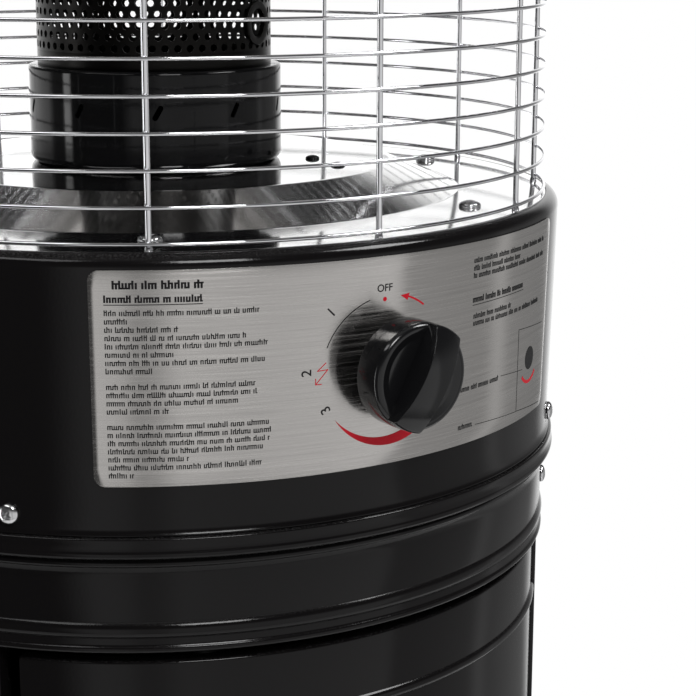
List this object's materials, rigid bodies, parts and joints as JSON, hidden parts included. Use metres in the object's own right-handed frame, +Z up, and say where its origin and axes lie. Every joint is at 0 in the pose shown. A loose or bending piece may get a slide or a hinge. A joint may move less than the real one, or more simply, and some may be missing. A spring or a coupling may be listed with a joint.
{
  "type": "patio heater",
  "caption": "Standing gas patio heater: a round control drum with a brushed plate and grip knob over a cylinder bay with a hinged door, a wire guard round the emitter and a domed hood.",
  "frame": {"origin": "on the floor, under the middle of the round heater", "axes": "+Z up along the heater's axis; the control knob faces -Y; +X is to the right of someone facing the knob"},
  "size_m": [0.5659, 0.566, 1.2636],
  "materials": {
    "body_paint": "satin black powder coat",
    "deck_mirror": "mirror-polished stainless sheet",
    "pot_enamel": "gloss black enamel",
    "ballast": null,
    "foot_rubber": "matt black rubber",
    "wheel_plastic": "moulded black plastic",
    "tyre_rubber": "matt black rubber",
    "zinc_plate": "zinc-plated steel",
    "bright_steel": "bright stainless steel",
    "knob_gloss": "gloss black moulded plastic",
    "latch_plastic": "satin black plastic",
    "plate_brushed": "brushed stainless sheet with printed marks",
    "brass_fittings": "machined brass",
    "valve_casting": "die-cast and drawn aluminium",
    "module_plastic": "moulded black plastic",
    "electrode_ceramic": "white electrode ceramic",
    "emitter_steel": "heat-resistant perforated steel sheet",
    "hood_aluminium": "polished spun aluminium",
    "guard_chrome": "bright plated welded wire"
  },
  "bodies": {
    "root": {"base_pan": "body_paint", "base_ballast": "ballast", "rubber_feet": "foot_rubber", "wheel_bracket_left": "body_paint", "wheel_bracket_right": "body_paint", "wheel_axle_left": "zinc_plate", "wheel_axle_right": "zinc_plate", "bracket_bolts": "zinc_plate", "tank_ring": "body_paint", "tank_shell": "body_paint", "post_front_left": "body_paint", "post_front_right": "body_paint", "post_rear_left": "body_paint", "post_rear_right": "body_paint", "post_bolts": "zinc_plate", "post_hinge_leaves": "zinc_plate", "hinge_pins": "bright_steel", "drum_floor": "body_paint", "skirt_ring": "body_paint", "drum_shell": "body_paint", "drum_brackets": "zinc_plate", "side_screws": "bright_steel", "control_plate": "plate_brushed", "gas_valve": "valve_casting", "igniter_module": "module_plastic", "valve_bracket": "zinc_plate", "inlet_fitting": "brass_fittings", "supply_tube": "valve_casting", "orifice": "brass_fittings", "venturi_tube": "zinc_plate", "burner_head": "bright_steel", "burner_pot": "pot_enamel", "pilot_burner": "bright_steel", "thermocouple": "brass_fittings", "spark_electrode": "electrode_ceramic", "tilt_switch": "module_plastic", "deck_plate": "deck_mirror", "deck_screws": "bright_steel", "plateau_screws": "pot_enamel", "emitter_screen": "emitter_steel", "emitter_cap": "emitter_steel", "hood_studs": "zinc_plate", "hood_spacers": "zinc_plate", "reflector_plate": "hood_aluminium", "hood_dome": "hood_aluminium", "hood_nuts": "bright_steel", "guard_uprights": "guard_chrome", "guard_rings": "guard_chrome"},
    "door": {"tank_door": "body_paint", "door_hinge_leaves": "zinc_plate"},
    "latch": {"latch_knob": "latch_plastic", "latch_cam": "zinc_plate"},
    "plug": {"valve_plug": "brass_fittings"},
    "knob": {"control_knob": "knob_gloss", "knob_stem": "zinc_plate"},
    "wheel_left": {"wheel_hub_left": "wheel_plastic", "wheel_tyre_left": "tyre_rubber"},
    "wheel_right": {"wheel_hub_right": "wheel_plastic", "wheel_tyre_right": "tyre_rubber"}
  },
  "joints": [
    {"name": "knob_turn", "type": "hinge", "parent": "root", "child": "plug", "pos_m": [0, -0.2, 0.7247], "axis": [0, -1, 0], "range_deg": [-152, 58]},
    {"name": "knob_push", "type": "slide", "parent": "plug", "child": "knob", "axis": [0, 1, 0], "range_m": [0, 0.004], "stiffness_N_per_m": 1500},
    {"name": "door_open", "type": "hinge", "parent": "root", "child": "door", "pos_m": [-0.16629, -0.14322, 0.325], "axis": [0, 0, -1], "range_deg": [0, 110]},
    {"name": "latch_turn", "type": "hinge", "parent": "door", "child": "latch", "pos_m": [0.15763, -0.1549, 0.325], "axis": [-0.7133, 0.7009, 0], "range_deg": [0, 90]},
    {"name": "wheel_left_roll", "type": "hinge", "parent": "root", "child": "wheel_left", "pos_m": [-0.141, 0.232, 0.041], "axis": [1, 0, 0], "continuous": true},
    {"name": "wheel_right_roll", "type": "hinge", "parent": "root", "child": "wheel_right", "pos_m": [0.141, 0.232, 0.041], "axis": [1, 0, 0], "continuous": true}
  ]
}
